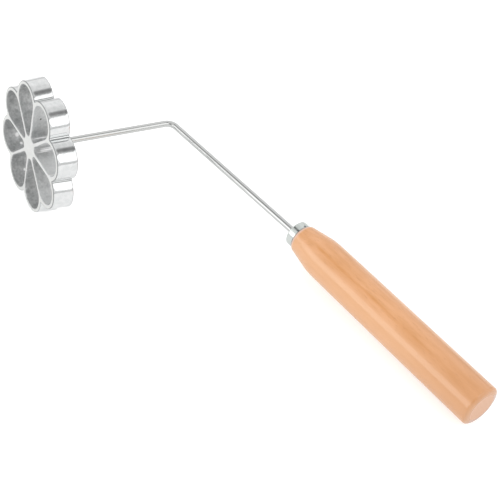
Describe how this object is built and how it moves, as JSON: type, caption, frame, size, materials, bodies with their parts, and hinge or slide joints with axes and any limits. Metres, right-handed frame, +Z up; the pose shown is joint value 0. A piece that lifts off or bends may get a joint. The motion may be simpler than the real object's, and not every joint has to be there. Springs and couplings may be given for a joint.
{
  "type": "rosette iron",
  "caption": "Bent metal rod with a turned wooden handle at one end and a cast flower-shaped mould screwed on the other, dipped in batter and hot oil to fry rosette pastries.",
  "frame": {"origin": "under the middle of the bounding box, on the table that the tool lies on", "axes": "+X toward the handle's butt, -Y the way the mould's open face looks, +Z up from the table"},
  "size_m": [0.3048, 0.1586, 0.0775],
  "materials": {
    "mould_head": "cast, with pale matte lands in front and polished outer walls",
    "rod": "polished bright steel",
    "ferrule": "pressed sheet, polished bright",
    "handle": "clear satin lacquer over pale beech"
  },
  "bodies": {
    "tool": {"rod": "rod", "ferrule": "ferrule", "handle": "handle"},
    "mould": {"mould_head": "mould_head"}
  },
  "joints": [
    {"name": "mould_unscrews", "type": "slide", "parent": "tool", "child": "mould", "axis": [0, -0.9805, 0.1966], "range_m": [0, 0.02]}
  ]
}
